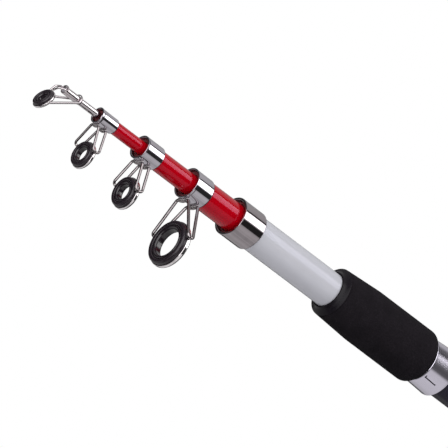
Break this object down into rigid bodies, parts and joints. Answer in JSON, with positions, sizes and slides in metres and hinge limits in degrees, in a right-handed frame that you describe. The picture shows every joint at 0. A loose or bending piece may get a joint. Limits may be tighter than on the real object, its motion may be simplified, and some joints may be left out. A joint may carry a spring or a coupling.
{
  "type": "telescopic fishing rod",
  "caption": "Telescopic spinning rod, closed: red sliding sections with wire ring guides in a white butt with foam grips, a reel seat with fixed and screw-driven hoods, and a screw butt plug.",
  "frame": {"origin": "on the rod's axis, over the middle of the flat land that the reel's foot rests on, where the hand holds the rod", "axes": "+X along the rod towards the tip, -Z towards the side of the line guides and of the reel, +Y completes a right-handed frame"},
  "size_m": [0.5395, 0.0307, 0.0525],
  "materials": {
    "red_lacquer": "clear-coated red lacquer on glass fibre",
    "white_lacquer": "satin pale grey lacquer on glass fibre",
    "ferrule_chrome": "bright chrome plate with fine turning lines",
    "hood_steel": "polished stainless steel, finely brushed round",
    "guide_wire": "chromed steel wire and pressed cups with soldered joints",
    "black_plastic": "moulded black plastic",
    "ring_ceramic": "polished black ceramic",
    "foam": "ground closed-cell foam",
    "rubber": "matt moulded rubber"
  },
  "bodies": {
    "handle": {"butt_blank": "white_lacquer", "ferrule_4": "ferrule_chrome", "foregrip": "foam", "fixed_hood": "hood_steel", "seat_barrel": "black_plastic", "seat_trim_ring": "hood_steel", "rear_grip": "foam", "butt_sleeve": "hood_steel"},
    "fourth_section": {"fourth_blank": "red_lacquer", "ferrule_3": "ferrule_chrome", "guide_3_frame": "guide_wire", "guide_3_cup": "guide_wire", "guide_3_liner": "black_plastic", "guide_3_insert": "ring_ceramic"},
    "third_section": {"third_blank": "red_lacquer", "ferrule_2": "ferrule_chrome", "guide_2_frame": "guide_wire", "guide_2_cup": "guide_wire", "guide_2_liner": "black_plastic", "guide_2_insert": "ring_ceramic"},
    "second_section": {"second_blank": "red_lacquer", "ferrule_1": "ferrule_chrome", "guide_1_frame": "guide_wire", "guide_1_cup": "guide_wire", "guide_1_liner": "black_plastic", "guide_1_insert": "ring_ceramic"},
    "tip_section": {"tip_blank": "white_lacquer", "tip_sleeve": "guide_wire", "tip_top_tube": "guide_wire", "tip_top_arms": "guide_wire", "tip_top_legs": "guide_wire", "tip_ring_cup": "guide_wire", "tip_ring_liner": "black_plastic", "tip_ring_insert": "ring_ceramic"},
    "hood_slider": {"moving_hood": "hood_steel", "moving_hood_lining": "rubber"},
    "hood_nut": {"nut_washer": "hood_steel", "lock_nut": "black_plastic"},
    "butt_cap": {"butt_plug": "black_plastic", "butt_seal": "rubber", "butt_pad": "foam", "butt_button": "rubber"}
  },
  "joints": [
    {"name": "fourth_slide", "type": "slide", "parent": "handle", "child": "fourth_section", "axis": [1, 0, 0], "range_m": [0, 0.3447]},
    {"name": "third_slide", "type": "slide", "parent": "fourth_section", "child": "third_section", "axis": [1, 0, 0], "range_m": [0, 0.3741]},
    {"name": "second_slide", "type": "slide", "parent": "third_section", "child": "second_section", "axis": [1, 0, 0], "range_m": [0, 0.4055]},
    {"name": "tip_slide", "type": "slide", "parent": "second_section", "child": "tip_section", "axis": [1, 0, 0], "range_m": [0, 0.4334]},
    {"name": "hood_slide", "type": "slide", "parent": "handle", "child": "hood_slider", "axis": [1, 0, 0], "range_m": [-0.006, 0.014]},
    {"name": "nut_turn", "type": "hinge", "parent": "hood_slider", "child": "hood_nut", "pos_m": [-0.049, 0, 0], "axis": [1, 0, 0], "range_deg": [-864, 2016]},
    {"name": "plug_slide", "type": "slide", "parent": "handle", "child": "butt_cap", "axis": [-1, 0, 0], "range_m": [0, 0.03]}
  ],
  "couplings": [
    {"joint": "hood_slide", "follows": "nut_turn", "m_per_rad": 0.00039789}
  ]
}
